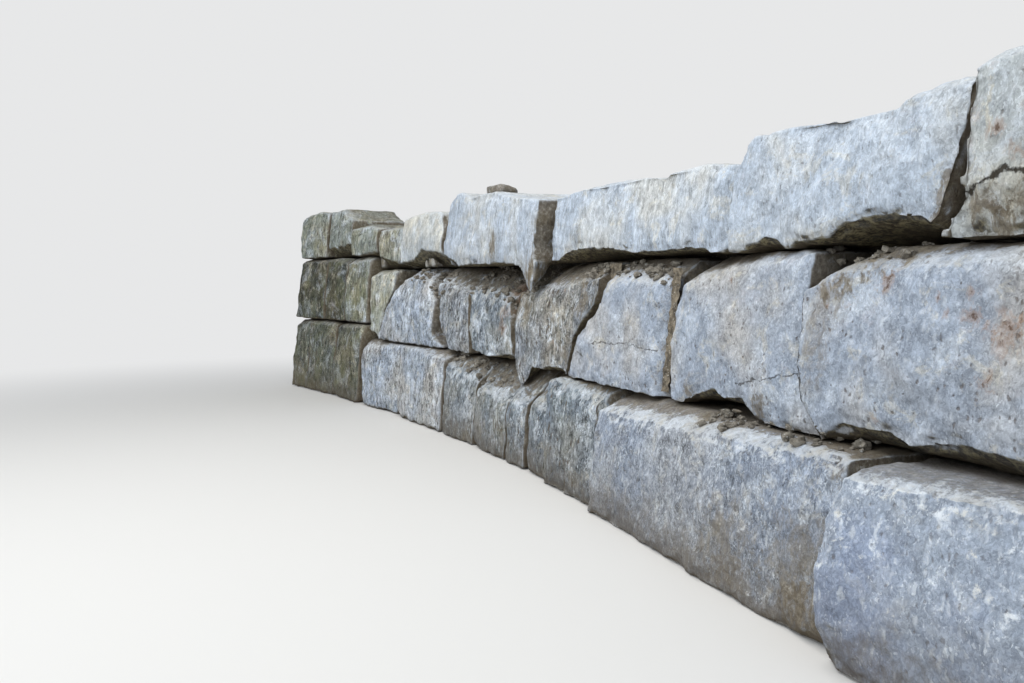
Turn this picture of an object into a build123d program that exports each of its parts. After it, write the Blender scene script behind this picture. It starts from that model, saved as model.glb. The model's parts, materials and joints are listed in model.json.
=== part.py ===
from build123d import *
from dataclasses import dataclass, replace
from math import cos, degrees, radians, sin, tan
import os

# All sizes are millimetres and degrees. The near end of the wall points along +X and its face
# looks along -Y. A place along the face is a station, counted from the near end.

# Levels of the beds, which step up towards the far end
base_height = 285
middle_height = 300
far_rise = 60

# The wall along its face, the run at its far end where the beds are higher, and how far the first
# top stone of that run reaches back over the step
wall_length = 4180
far_run = 800
top_overhang = 50

# Line of the face on the ground, straight at first and then curving forward
bend_start = 1570
bend_radius = 8000
batter = 6

# Line of the back, and the gap between neighbours in a course
wall_thickness = 400
joint = 5

# Small stones in the joints and on top
pin_width = 55
pin_height = 44
pin_depth = 75
pin_tip = 5
loose_width = 116
loose_height = 46
loose_depth = 100
loose_tip = 26
loose_rise = 236
levelling_depth = 160

# A blank starts this far in front of the face line, and a hollow ends in a step this high
blank_front = -300
hollow_tip = 4


@dataclass
class Stone:
    """One block between two joint lines, told from its near end towards its far end.

    stretch: what its length and its distances along the wall are multiplied by, to fill the run

    near_end and far_end: (height above the bed, how far the end is cut back there), bottom to top
    crest: (distance from the near joint line, height above the bed) of a top stone's upper edge
    proud, turn, belly: how far the face stands out, its swing, and how far its edges fall back
    bevel: (drop at the near end, drop at the far end, depth) of the top front arris
    near_arris and far_arris: (width at the foot, width at the head, depth) of the upright arrises
    flakes: (corner, distance along, distance up or down, depth) struck off the face's corners
    hollows and lips: ((distance, rise or drop), ..., ) outlines on the face, and their depth
    """
    length: float
    stretch: float = 1
    near_end: tuple = ((0, 0), (1, 0))
    far_end: tuple = ((0, 0), (1, 0))
    crest: tuple = ()
    proud: float = 0
    turn: float = 0
    belly: float = 4
    tail: float = 0
    bevel: tuple = None
    near_arris: tuple = None
    far_arris: tuple = None
    flakes: tuple = ()
    hollows: tuple = ()
    lips: tuple = ()


def place(station):
    """Frame of the face line at a station, X towards the near end and Y into the wall."""
    if station <= bend_start:
        return Location((-station, 0, 0))
    angle = (station - bend_start) / bend_radius
    east = -bend_start - bend_radius * sin(angle)
    north = bend_radius * (cos(angle) - 1)
    return Location((east, north, 0), (0, 0, degrees(angle)))


def strike(block, a, b, c, outward):
    """Strike off what lies outside the plane through three points."""
    normal = (Vector(b) - Vector(a)).cross(Vector(c) - Vector(a)).normalized()
    if normal.dot(Vector(outward)) < 0:
        normal = normal * -1
    return split(block, bisect_by=Plane(origin=a, z_dir=normal), keep=Keep.BOTTOM)


def elevation(stone, bed, height):
    """Outline of the stone in the plane of the face, with its middle at x = 0."""
    near = stone.length / 2 - joint / 2
    far = -stone.length / 2 + joint / 2
    near_line = [(near - cut, bed + rise) for rise, cut in stone.near_end[:-1]]
    far_line = [(far + cut, bed + rise) for rise, cut in stone.far_end[:-1]]
    near_head = near - stone.near_end[-1][1]
    far_head = far + stone.far_end[-1][1]
    if stone.crest:
        top_line = [(near_head, bed + stone.crest[0][1])]
        top_line += [(near - along * stone.stretch, bed + rise) for along, rise in stone.crest[1:-1]]
        top_line += [(far_head, bed + stone.crest[-1][1])]
    else:
        top_line = [(near_head, bed + height), (far_head, bed + height)]
    return near_line + top_line + far_line[::-1]


def relief(stone, outline, depth, face, bed, side):
    """A body on the bed's front edge, as high as the outline on the face and fading out behind it."""
    reach = depth / 2
    middle = (outline[0][0] + outline[-1][0]) / 2 * stone.stretch
    sections = []
    for y, share in ((face - reach, 1 + reach / depth), (face + depth, 0)):
        points = []
        for along, size in outline:
            rise = hollow_tip + max(size - hollow_tip, 0) * share
            pinch = (along * stone.stretch - middle) * (1 - 0.25 * (1 - share))
            points.append((stone.length / 2 - middle - pinch, bed + side * rise))
        ends = [(points[-1][0], bed - side), (points[0][0], bed - side)]
        sections.append(Plane.XZ.offset(-y) * make_face(Polyline(*points, *ends, close=True)))
    return loft(sections, ruled=True)


def make_stone(stone, bed, height):
    """A block lying on its bed: a blank sawn to its elevation, then struck off plane by plane."""
    half = stone.length / 2
    top = bed + (max(rise for _, rise in stone.crest) if stone.crest else height)
    head = bed + (min(rise for _, rise in stone.crest) if stone.crest else height)
    back = wall_thickness - stone.tail
    outline = elevation(stone, bed, height)
    blank = Plane.XZ.offset(-back) * make_face(Polyline(*outline, close=True))
    block = extrude(blank, back - blank_front)

    def face(level):
        return level * tan(radians(batter)) - stone.proud

    for lip, depth in stone.lips:
        block += relief(stone, lip, depth, face(bed), bed, -1)

    # The face, battered and turned, falling back a little above and below its belly
    swing = tan(radians(stone.turn)) * half
    waist = (bed + head) / 2
    for level in (bed, head):
        a = (half, face(waist) + swing, waist)
        b = (-half, face(waist) - swing, waist)
        c = (half, face(level) + swing + stone.belly, level)
        block = strike(block, a, b, c, (0, -1, 0))

    # The upright arrises at both ends
    for end, side, arris in ((stone.near_end, 1, stone.near_arris), (stone.far_end, -1, stone.far_arris)):
        if arris:
            foot_width, head_width, depth = arris
            foot = side * (half - joint / 2 - end[0][1])
            crown = side * (half - joint / 2 - end[-1][1])
            a = (foot - side * foot_width, face(bed) + stone.belly, bed)
            b = (crown - side * head_width, face(head) + stone.belly, head)
            c = (foot, face(bed) + stone.belly + depth, bed)
            block = strike(block, a, b, c, (side, -1, 0))

    # The top front arris, struck off more at one end than at the other
    if stone.bevel:
        near_drop, far_drop, depth = stone.bevel
        a = (half, face(top), top - near_drop)
        b = (-half, face(top), top - far_drop)
        block = strike(block, a, b, (0, face(top) + depth, top), (0, -1, 1))

    # Flakes off the corners of the face
    for corner, along, down, depth in stone.flakes:
        side = 1 if "near" in corner else -1
        up = 1 if "head" in corner else -1
        level = head if up == 1 else bed
        edge = side * (half - joint / 2)
        a = (edge - side * along, face(level), level)
        b = (edge, face(level), level - up * down)
        c = (edge, face(level) + depth, level)
        block = strike(block, a, b, c, (side, -1, up))

    for hollow, depth in stone.hollows:
        block -= relief(stone, hollow, depth, face(bed), bed, 1)
    return block


def lay_course(name, stones, bed, height, station, end):
    """Lay stones one after another, drawn in or out together to fill the run."""
    stretch = (end - station) / sum(stone.length for stone in stones)
    laid = {}
    for count, stone in enumerate(stones, start=1):
        stone = replace(stone, length=stone.length * stretch, stretch=stretch)
        plan[f"{name}_{count}"] = (station, stone)
        laid[f"{name}_{count}"] = place(station + stone.length / 2) * make_stone(stone, bed, height)
        station += stone.length
    return laid


def station_on(name, along):
    """Station of a point this far along a stone that has been laid."""
    station, stone = plan[name]
    return station + along * stone.stretch


def make_pin(width, height, depth, tip):
    """A small stone, thick in front and thin behind, with its front corners knocked off."""
    profile = [(0, 0), (0, height), (depth, tip), (depth, 0)]
    body = extrude(Plane.YZ.offset(-width / 2) * make_face(Polyline(*profile, close=True)), width)
    corners = body.edges().filter_by(Axis.Z).sort_by(Axis.Y)[:2]
    return chamfer(corners, width / 6)


def set_pin(station, bed, behind_face, turn, pin):
    """Set a small stone on a bed, a little behind the face."""
    setback = bed * tan(radians(batter)) + behind_face
    return place(station) * Location((0, setback, bed), (0, 0, turn)) * pin


# Base course. Its first block stands well forward of the rest, and the fourth to sixth are low in front.
base_stones = [
    Stone(590, proud=84, turn=4, belly=20, bevel=(3, 16, 30), far_end=((0, 0), (212, 2), (285, 24)),
          flakes=(("far_head", 30, 24, 24), ("far_foot", 40, 70, 30))),
    Stone(820, proud=50, turn=-1, tail=20, bevel=(5, 48, 60), far_end=((0, 4), (150, 0), (285, 14)),
          near_end=((0, 0), (285, 10)), flakes=(("far_head", 120, 50, 45), ("near_foot", 90, 60, 25))),
    Stone(310, proud=30, turn=2, bevel=(48, 12, 40), near_end=((0, 6), (160, 0), (285, 14)),
          far_end=((0, 14), (160, 4), (285, 0)), near_arris=(8, 26, 22)),
    Stone(140, proud=20, turn=-2, tail=30, bevel=(95, 90, 100), far_end=((0, 4), (140, 0), (285, 6))),
    Stone(140, proud=25, tail=10, bevel=(92, 96, 105), near_end=((0, 0), (140, 5), (285, 0))),
    Stone(260, proud=22, turn=-1, tail=40, bevel=(98, 92, 100), near_end=((0, 6), (120, 0), (285, 0)),
          flakes=(("far_foot", 60, 50, 30),)),
    Stone(270, proud=20, turn=1, bevel=(80, 35, 70), far_end=((0, 12), (150, 0), (285, 8)),
          flakes=(("far_head", 50, 40, 30),)),
    Stone(450, proud=25, turn=-1, tail=25, bevel=(20, 5, 40), near_end=((0, 0), (180, 4), (285, 22)),
          flakes=(("near_head", 60, 45, 35), ("far_foot", 90, 60, 30))),
    Stone(400, proud=15, turn=2, tail=5, bevel=(10, 35, 40), far_end=((0, 60), (120, 10), (285, 0)),
          flakes=(("far_head", 80, 60, 50),)),
]
far_base_stones = [
    Stone(300, proud=15, turn=-2, tail=20, bevel=(8, 20, 30), flakes=(("near_head", 50, 50, 30),)),
    Stone(300, proud=5, turn=1, bevel=(15, 10, 30), near_end=((0, 0), (345, 10))),
    Stone(200, tail=30, bevel=(12, 30, 40), far_arris=(10, 20, 25)),
]

# Middle course, with slanting ends that lean on each other
middle_stones = [
    Stone(780, proud=8, turn=1, bevel=(10, 35, 40),
          far_end=((0, 70), (56, 18), (119, -2), (232, -2), (266, 60), (300, 116)),
          hollows=((((-20, 34), (370, 36), (463, 38), (545, 20), (585, 33), (669, 30), (715, 3)), 65),)),
    Stone(420, turn=-1, tail=20, bevel=(5, 60, 55),
          near_end=((0, -66), (40, -30), (94, 0), (154, 0), (248, -1), (300, -2)),
          far_end=((0, 20), (32, 11), (114, 2), (187, 7), (231, 21), (300, 60)),
          hollows=((((108, 2), (142, 21), (159, 33), (208, 27), (247, 44), (298, 25), (345, 2)), 110),)),
    Stone(390, proud=5, turn=2, tail=10, bevel=(60, 45, 70), near_arris=(38, 40, 35),
          near_end=((0, 8), (150, 2), (300, 6)),
          far_end=((0, -70), (57, -60), (108, -26), (161, 36), (187, 72), (246, 92), (300, 95)),
          flakes=(("near_foot", 70, 30, 25),)),
    Stone(470, proud=12, turn=-2, tail=30, belly=10, bevel=(45, 95, 110),
          near_end=((0, 84), (31, 80), (99, 50), (165, -22), (190, -54), (245, -64), (300, -62)),
          far_end=((0, 10), (103, 0), (196, 30), (300, 60)),
          hollows=((((95, 2), (130, 16), (200, 14), (240, 2)), 50),),
          lips=((((318, 0), (352, 60), (391, 75), (430, 38), (458, 0)), 70),)),
    Stone(345, proud=5, turn=1, bevel=(118, 75, 130),
          near_end=((0, 0), (34, 4), (100, 13), (179, 40), (300, 44)),
          far_end=((0, 50), (20, 43), (218, -18), (300, -25)),
          hollows=((((-20, 30), (54, 18), (136, 5), (220, 5), (302, 20), (370, 25)), 60),)),
    Stone(320, turn=-2, tail=25, bevel=(88, 62, 90),
          near_end=((0, -20), (117, 6), (211, 30), (300, 35)),
          far_end=((0, 145), (106, 54), (223, 0), (300, 0))),
    Stone(435, proud=10, turn=2, tail=10, belly=8, bevel=(55, 25, 60),
          near_end=((0, -88), (18, -84), (46, 2), (104, -2), (175, -4), (231, 36), (300, 60)),
          far_end=((0, -72), (25, -70), (128, -22), (212, 76), (273, 176), (300, 190))),
    Stone(220, turn=-2, bevel=(15, 30, 40),
          near_end=((0, 84), (25, 82), (128, 34), (171, -10), (212, -52), (261, -60), (300, -60)),
          far_end=((0, 35), (59, 28), (210, 0), (300, 0)),
          hollows=((((90, 25), (192, 45), (250, 45)), 60),)),
]
far_middle_stones = [
    Stone(240, proud=5, turn=2, tail=30, bevel=(20, 25, 40), near_end=((0, 0), (150, 8), (300, 0))),
    Stone(240, turn=-1, tail=10, bevel=(25, 15, 30), near_end=((0, 5), (300, 0))),
    Stone(320, turn=1, bevel=(15, 20, 30), far_arris=(15, 25, 30)),
]

# Top course, each stone with its own crest
top_stones = [
    Stone(500, proud=15, turn=1, tail=20, bevel=(12, 18, 20),
          far_end=((0, -20), (25, -16), (60, 0), (215, 2)),
          crest=((0, 232), (180, 240), (330, 236), (430, 243), (470, 242), (492, 222)),
          hollows=((((290, 2), (380, 78), (440, 86), (520, 88)), 26),)),
    Stone(520, proud=10, turn=-1, bevel=(16, 20, 25),
          near_end=((0, 62), (38, 30), (100, 16), (165, 0), (219, 0)),
          far_end=((0, 4), (22, 0), (58, -4), (124, -2), (158, 4), (170, 24), (195, 32)),
          crest=((0, 219), (69, 222), (83, 216), (106, 216), (132, 197), (242, 201), (317, 208),
                 (371, 211), (429, 206), (453, 211), (486, 196)),
          hollows=((((38, 14), (71, 34), (146, 41), (206, 34), (240, 13), (300, 8), (330, 2)), 140),
                   (((352, 2), (376, 19), (405, 27), (442, 9), (460, 2)), 60))),
    Stone(840, proud=5, turn=1, tail=30, bevel=(26, 6, 45), far_arris=(10, 15, 20),
          near_end=((0, 0), (33, 2), (69, 6), (91, 2), (123, 4), (166, -8)),
          far_end=((0, 0), (54, 3), (112, 8), (177, 3)),
          crest=((0, 166), (143, 186), (239, 181), (254, 172), (373, 188), (491, 196), (555, 197),
                 (661, 187), (837, 176)),
          flakes=(("near_foot", 50, 40, 40),),
          hollows=((((60, 2), (129, 12), (190, 10), (340, 6), (405, 14), (517, 27), (666, 28),
                     (726, 19), (770, 2)), 120),)),
    Stone(840, proud=34, turn=-3.3, bevel=(26, 10, 35),
          near_end=((0, 4), (45, 20), (120, 4), (176, 8)), far_end=((0, 5), (60, 4), (220, 0)),
          crest=((0, 176), (149, 194), (267, 211), (370, loose_rise), (600, loose_rise), (640, 250),
                 (690, 262), (740, 264), (810, 240), (840, 220)),
          hollows=((((650, 2), (729, 27), (800, 48), (835, 60), (870, 60)), 110),),
          lips=((((3, 0), (8, 60), (30, 68), (62, 40), (105, 14), (160, 0)), 60),)),
    Stone(380, proud=8, turn=1, tail=25, bevel=(15, 20, 30),
          near_end=((0, 0), (60, 0), (136, 3), (205, 28)),
          crest=((0, 205), (60, 214), (163, 221), (299, 219), (376, 190)),
          hollows=((((-20, 60), (115, 69), (168, 74), (266, 24), (400, 20)), 100),)),
    Stone(250, turn=-1, tail=10, bevel=(25, 20, 70), far_end=((0, 0), (80, 4), (168, 4)),
          crest=((0, 188), (120, 178), (245, 168)),
          hollows=((((-20, 20), (65, 27), (238, 62), (280, 62)), 80),)),
]
far_top_stones = [
    Stone(270, proud=8, turn=2, tail=30, bevel=(20, 25, 70),
          crest=((0, 120), (76, 130), (179, 150), (265, 142)),
          hollows=((((-20, 10), (60, 6), (150, 2)), 50),)),
    Stone(280, turn=-1, tail=15, bevel=(15, 15, 30), crest=((0, 170), (50, 190), (130, 232), (275, 228)),
          hollows=((((-20, 56), (120, 62), (300, 54)), 70),)),
    Stone(300, turn=1, bevel=(12, 20, 25), crest=((0, 222), (120, 236), (230, 228), (295, 205))),
]

middle_bed = base_height
far_middle_bed = middle_bed + far_rise
top_bed = middle_bed + middle_height
far_top_bed = top_bed + far_rise
step = wall_length - far_run
top_step = step - top_overhang
plan = {}
wall = {}
wall |= lay_course("base_stone", base_stones, 0, base_height, 0, step)
wall |= lay_course("far_base_stone", far_base_stones, 0, far_middle_bed, step, wall_length)
wall |= lay_course("middle_stone", middle_stones, middle_bed, middle_height, 0, step)
wall |= lay_course("far_middle_stone", far_middle_stones, far_middle_bed, middle_height, step, wall_length)
wall |= lay_course("top_stone", top_stones, top_bed, 0, 0, top_step)
wall |= lay_course("far_top_stone", far_top_stones, far_top_bed, 0, top_step, wall_length)

# Two pins side by side in the hollow of the fifth top stone, and one under the second middle stone
pin_station = station_on("top_stone_5", 130)
pin = make_pin(pin_width, pin_height, pin_depth, pin_tip)
small_pin = make_pin(0.65 * pin_width, 0.8 * pin_height, pin_depth, pin_tip)
low_pin = make_pin(0.7 * pin_width, 0.55 * pin_height, 0.45 * pin_depth, 2.4 * pin_tip)
wall["pin_stone_1"] = set_pin(pin_station - pin_width / 2, top_bed, 8, 0, pin)
wall["pin_stone_2"] = set_pin(pin_station + pin_width / 2, top_bed, 10, 0, small_pin)
wall["pin_stone_3"] = set_pin(station_on("middle_stone_2", 175), middle_bed, 10, 12, low_pin)

# The levelling stone at the step in the beds, and the loose stone on the flat of the fourth top stone
levelling = make_pin(top_overhang - joint, far_rise, levelling_depth, far_rise)
loose = make_pin(loose_width, loose_height, loose_depth, loose_tip)
wall["levelling_stone"] = set_pin(step - top_overhang / 2, top_bed, 48, 0, levelling)
wall["loose_stone"] = set_pin(station_on("top_stone_4", 510), top_bed + loose_rise, 24, 12, loose)

# The origin goes to the middle of the wall's box, on the ground
box = Compound(list(wall.values())).bounding_box()
to_middle = Pos(-box.center().X, -box.center().Y, -box.min.Z)

os.makedirs("parts", exist_ok=True)
for name, block in wall.items():
    export_step(to_middle * block, f"parts/{name}.step")
print(len(wall), "stones in a box of", [round(size) for size in box.size])
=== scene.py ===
import bpy
import json
import math
import random
from mathutils import Matrix, Vector, noise
from mathutils.bvhtree import BVHTree

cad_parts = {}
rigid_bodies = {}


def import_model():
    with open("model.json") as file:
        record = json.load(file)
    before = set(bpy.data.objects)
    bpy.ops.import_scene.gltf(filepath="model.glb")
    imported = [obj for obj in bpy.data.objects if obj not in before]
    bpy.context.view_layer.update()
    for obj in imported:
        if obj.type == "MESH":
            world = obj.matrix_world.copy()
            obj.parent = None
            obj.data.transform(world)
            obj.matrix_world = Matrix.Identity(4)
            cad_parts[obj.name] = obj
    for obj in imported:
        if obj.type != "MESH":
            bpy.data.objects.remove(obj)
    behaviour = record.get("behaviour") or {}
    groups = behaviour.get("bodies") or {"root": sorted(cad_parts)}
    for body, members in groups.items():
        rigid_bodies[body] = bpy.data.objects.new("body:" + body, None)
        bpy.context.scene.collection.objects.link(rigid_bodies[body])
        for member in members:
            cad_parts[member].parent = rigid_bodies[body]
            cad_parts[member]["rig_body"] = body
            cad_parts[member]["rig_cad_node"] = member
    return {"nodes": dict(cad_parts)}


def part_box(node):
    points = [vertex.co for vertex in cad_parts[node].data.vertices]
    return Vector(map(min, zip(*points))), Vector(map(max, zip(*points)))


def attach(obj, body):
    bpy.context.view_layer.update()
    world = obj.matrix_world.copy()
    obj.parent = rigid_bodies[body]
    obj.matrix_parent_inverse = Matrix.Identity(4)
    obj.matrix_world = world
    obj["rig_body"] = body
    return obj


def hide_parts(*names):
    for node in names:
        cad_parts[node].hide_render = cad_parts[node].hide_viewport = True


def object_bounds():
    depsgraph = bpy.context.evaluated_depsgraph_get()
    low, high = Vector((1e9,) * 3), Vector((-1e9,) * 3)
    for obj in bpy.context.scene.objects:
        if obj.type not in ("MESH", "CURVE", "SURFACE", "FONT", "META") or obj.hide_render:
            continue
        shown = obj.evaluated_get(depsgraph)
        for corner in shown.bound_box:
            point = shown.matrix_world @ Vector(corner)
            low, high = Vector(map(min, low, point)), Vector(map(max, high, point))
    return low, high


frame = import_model()
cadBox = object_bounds()
nodes = frame["nodes"]
random.seed(11)

# where the drawing of the wall starts: its near joint line, on the line of the face at the ground
halfJoint = 0.0025
wallDepth = 0.400
wallStart = {
    "x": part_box("top_stone_1")[1].x + halfJoint,
    "y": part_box("base_stone_1")[1].y - wallDepth,
}
wallBend = {"start": 1.570, "radius": 8.000}  # straight up to the start, then curving forward
batter = math.tan(math.radians(6))  # the face leans back by 6 degrees


def onWall(station, behind, height):
    setback = behind + height * batter
    angle = max(0.0, station - wallBend["start"]) / wallBend["radius"]
    straight = min(station, wallBend["start"])
    reach = wallBend["radius"] + setback
    along = straight + reach * math.sin(angle) if angle else station
    inward = setback if not angle else reach * math.cos(angle) - wallBend["radius"]
    return Vector((wallStart["x"] - along, wallStart["y"] + inward, height))


def pickOnly(piece):
    bpy.ops.object.select_all(action="DESELECT")
    piece.select_set(True)
    bpy.context.view_layer.objects.active = piece


# the stand: camera, lamps, world and floor
cameraView = {
    "alongWall": 0.340,  # past the near end
    "outFromWall": 0.875,
    "height": 0.530,
    "turn": 20.7,  # degrees between the view and the wall
    "tilt": 4.0,
    "lens": 29.88,
    "nearest": 0.02,
}
lamps = {
    "overhead": {
        "place": (0.5, -0.9, 3.4),
        "aim": (0.5, 0.0, 0.5),
        "size": 2.4,
        "power": 70,
        "colour": (1.0, 0.98, 0.95),
    },
    "skyFill": {
        "place": (1.9, -2.9, 2.5),
        "aim": (1.0, 0.0, 0.4),
        "size": 3.0,
        "power": 88,
        "colour": (0.90, 0.95, 1.0),
    },
}
paleGround = (0.80, 0.805, 0.81)
floorLook = {"size": 80, "colour": (0.72, 0.70, 0.67), "fadeStart": 1.2, "fadeEnd": 4.0}
worldLook = {"light": (0.86, 0.93, 1.0), "strength": 0.42}


def aimAt(thing, place, target):
    direction = Vector(target) - Vector(place)
    thing.rotation_euler = direction.to_track_quat("-Z", "Y").to_euler()


def setCamera(view):
    place = Vector((
        wallStart["x"] + view["alongWall"],
        wallStart["y"] - view["outFromWall"],
        view["height"],
    ))
    turn = math.radians(view["turn"])
    tilt = math.radians(view["tilt"])
    forward = Vector((-math.cos(turn) * math.cos(tilt), math.sin(turn) * math.cos(tilt), -math.sin(tilt)))
    bpy.ops.object.camera_add(location=place)
    camera = bpy.context.object
    aimAt(camera, place, place + forward)
    camera.data.lens = view["lens"]
    camera.data.clip_start = view["nearest"]
    bpy.context.scene.camera = camera


def setLamps(looks):
    for name, look in looks.items():
        bpy.ops.object.light_add(type="AREA", location=look["place"])
        lamp = bpy.context.object
        lamp.name = name
        lamp.data.size = look["size"]
        lamp.data.energy = look["power"]
        lamp.data.color = look["colour"]
        aimAt(lamp, look["place"], look["aim"])


def setWorld(look):
    world = bpy.data.worlds.new("softRoom")
    bpy.context.scene.world = world
    world.use_nodes = True
    tree = world.node_tree
    tree.nodes.clear()
    output = tree.nodes.new("ShaderNodeOutputWorld")
    light = tree.nodes.new("ShaderNodeBackground")
    light.inputs["Color"].default_value = (*look["light"], 1)
    light.inputs["Strength"].default_value = look["strength"]
    shown = tree.nodes.new("ShaderNodeBackground")
    shown.inputs["Color"].default_value = (*paleGround, 1)
    path = tree.nodes.new("ShaderNodeLightPath")
    mix = tree.nodes.new("ShaderNodeMixShader")
    tree.links.new(path.outputs["Is Camera Ray"], mix.inputs["Fac"])
    tree.links.new(light.outputs[0], mix.inputs[1])
    tree.links.new(shown.outputs[0], mix.inputs[2])
    tree.links.new(mix.outputs[0], output.inputs["Surface"])


def setFloor(look):
    bpy.ops.mesh.primitive_plane_add(size=look["size"])
    floor = bpy.context.object
    floor.name = "floor"
    paint = bpy.data.materials.new("paleFloor")
    paint.use_nodes = True
    tree = paint.node_tree
    shader = tree.nodes["Principled BSDF"]
    shader.inputs["Base Color"].default_value = (*look["colour"], 1)
    shader.inputs["Roughness"].default_value = 0.9
    far = tree.nodes.new("ShaderNodeEmission")  # away from the wall the floor runs into the background
    far.inputs["Color"].default_value = (*paleGround, 1)
    place = tree.nodes.new("ShaderNodeTexCoord")
    distance = tree.nodes.new("ShaderNodeVectorMath")
    distance.operation = "LENGTH"
    fade = tree.nodes.new("ShaderNodeMapRange")
    fade.interpolation_type = "SMOOTHSTEP"
    fade.inputs["From Min"].default_value = look["fadeStart"]
    fade.inputs["From Max"].default_value = look["fadeEnd"]
    path = tree.nodes.new("ShaderNodeLightPath")
    share = tree.nodes.new("ShaderNodeMath")
    share.operation = "MULTIPLY"
    mix = tree.nodes.new("ShaderNodeMixShader")
    tree.links.new(place.outputs["Object"], distance.inputs[0])
    tree.links.new(distance.outputs["Value"], fade.inputs["Value"])
    tree.links.new(fade.outputs["Result"], share.inputs[0])
    tree.links.new(path.outputs["Is Camera Ray"], share.inputs[1])
    tree.links.new(share.outputs[0], mix.inputs["Fac"])
    tree.links.new(shader.outputs[0], mix.inputs[1])
    tree.links.new(far.outputs[0], mix.inputs[2])
    tree.links.new(mix.outputs[0], tree.nodes["Material Output"].inputs["Surface"])
    floor.data.materials.append(paint)


setCamera(cameraView)
setLamps(lamps)
setWorld(worldLook)
setFloor(floorLook)
bpy.context.scene.view_settings.view_transform = "Standard"
print("stage 1: camera, lamps and floor are in place")


# limestone, from the pale top course down to the speckled base course
stoneLooks = {
    "pale": {
        "tone": (0.46, 0.52, 0.60), "warm": (0.57, 0.58, 0.57), "contrast": 0.80, "drawn": 0.50,
        "cream": 0.34, "chalk": 0.50, "bleach": 0.30, "specks": 0.35, "edge": 0.50,
        "pits": 0.45, "pitted": 0.40, "holes": 125, "rust": 0.10, "olive": 0.0,
        "earth": 0.92, "ledge": 0.10, "foot": 0.0,
    },
    "grey": {
        "tone": (0.36, 0.41, 0.49), "warm": (0.46, 0.45, 0.44), "contrast": 0.85, "drawn": 0.70,
        "cream": 0.40, "chalk": 0.45, "bleach": 0.35, "specks": 0.35, "edge": 0.50,
        "pits": 0.65, "pitted": 0.45, "holes": 105, "rust": 0.25, "olive": 0.0,
        "earth": 0.90, "ledge": 0.85, "foot": 0.0,
    },
    "blue": {
        "tone": (0.285, 0.33, 0.41), "warm": (0.33, 0.35, 0.385), "contrast": 1.35, "drawn": 0.65,
        "cream": 0.25, "chalk": 0.42, "bleach": 0.65, "specks": 0.55, "edge": 0.50,
        "pits": 0.45, "pitted": 0.45, "holes": 100, "rust": 0.10, "olive": 0.0,
        "earth": 0.85, "ledge": 0.80, "foot": 0.6,
    },
    "shaded": {
        "tone": (0.195, 0.23, 0.27), "warm": (0.27, 0.275, 0.26), "contrast": 2.0, "drawn": 0.45,
        "cream": 0.30, "chalk": 0.70, "bleach": 0.45, "specks": 0.60, "edge": 0.50,
        "pits": 0.90, "pitted": 0.75, "holes": 62, "rust": 0.15, "olive": 0.15,
        "earth": 0.90, "ledge": 0.90, "foot": 0.6,
    },
    "rough": {
        "tone": (0.23, 0.25, 0.28), "warm": (0.30, 0.28, 0.245), "contrast": 2.3, "drawn": 0.50,
        "cream": 0.35, "chalk": 0.80, "bleach": 0.30, "specks": 0.75, "edge": 0.45,
        "pits": 1.0, "pitted": 0.95, "holes": 48, "rust": 0.50, "olive": 0.10,
        "earth": 0.95, "ledge": 0.90, "foot": 0.3,
    },
    "olive": {
        "tone": (0.27, 0.295, 0.265), "warm": (0.35, 0.33, 0.24), "contrast": 2.0, "drawn": 0.28,
        "cream": 0.60, "chalk": 0.60, "bleach": 0.40, "specks": 0.30, "edge": 0.30,
        "pits": 0.90, "pitted": 0.60, "holes": 55, "rust": 0.30, "olive": 0.40,
        "earth": 0.90, "ledge": 0.40, "foot": 0.4,
    },
    "dim": {
        "tone": (0.12, 0.13, 0.105), "warm": (0.165, 0.15, 0.10), "contrast": 2.5, "drawn": 0.30,
        "cream": 0.35, "chalk": 0.30, "bleach": 0.15, "specks": 0.20, "edge": 0.08,
        "pits": 0.90, "pitted": 0.70, "holes": 50, "rust": 0.20, "olive": 0.50,
        "earth": 0.90, "ledge": 0.40, "foot": 0.5,
    },
    "brown": {
        "tone": (0.22, 0.19, 0.155), "warm": (0.31, 0.26, 0.19), "contrast": 1.3, "drawn": 0.70,
        "cream": 0.30, "chalk": 0.20, "bleach": 0.15, "specks": 0.30, "edge": 0.20,
        "pits": 0.80, "pitted": 0.60, "holes": 78, "rust": 0.50, "olive": 0.20,
        "earth": 0.90, "ledge": 0.30, "foot": 0.0,
    },
}
# looks of single stones, each like another but for a few values
lookVariants = {
    "creamy": {
        "like": "pale", "tone": (0.43, 0.46, 0.47), "warm": (0.55, 0.53, 0.46), "cream": 0.60,
    },
    "streaked": {
        "like": "pale", "drawn": 0.26, "contrast": 1.0, "cream": 0.40,
    },
    "lavender": {
        "like": "blue", "tone": (0.31, 0.365, 0.485), "warm": (0.35, 0.40, 0.48), "cream": 0.10,
        "contrast": 0.85, "chalk": 0.28, "bleach": 0.95, "ledge": 0.60,
    },
    "sunlit": {
        "like": "streaked", "tone": (0.52, 0.56, 0.59), "warm": (0.64, 0.62, 0.55),
    },
    "creamOlive": {
        "like": "olive", "tone": (0.37, 0.39, 0.35), "warm": (0.47, 0.45, 0.34), "cream": 0.75,
    },
    "mossy": {
        "like": "olive", "tone": (0.19, 0.205, 0.165), "warm": (0.27, 0.25, 0.16), "olive": 0.50,
    },
    "weathered": {
        "like": "grey", "contrast": 2.1, "drawn": 0.40, "chalk": 0.60, "specks": 0.70,
        "olive": 0.15,
    },
    # a much darker copy of dim: painted shade on far stones that stand in shadow
    "dark": {
        "like": "dim", "tone": (0.055, 0.060, 0.048), "warm": (0.095, 0.085, 0.055),
    },
}
for name, variant in lookVariants.items():
    stoneLooks[name] = stoneLooks[variant["like"]] | variant

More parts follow.
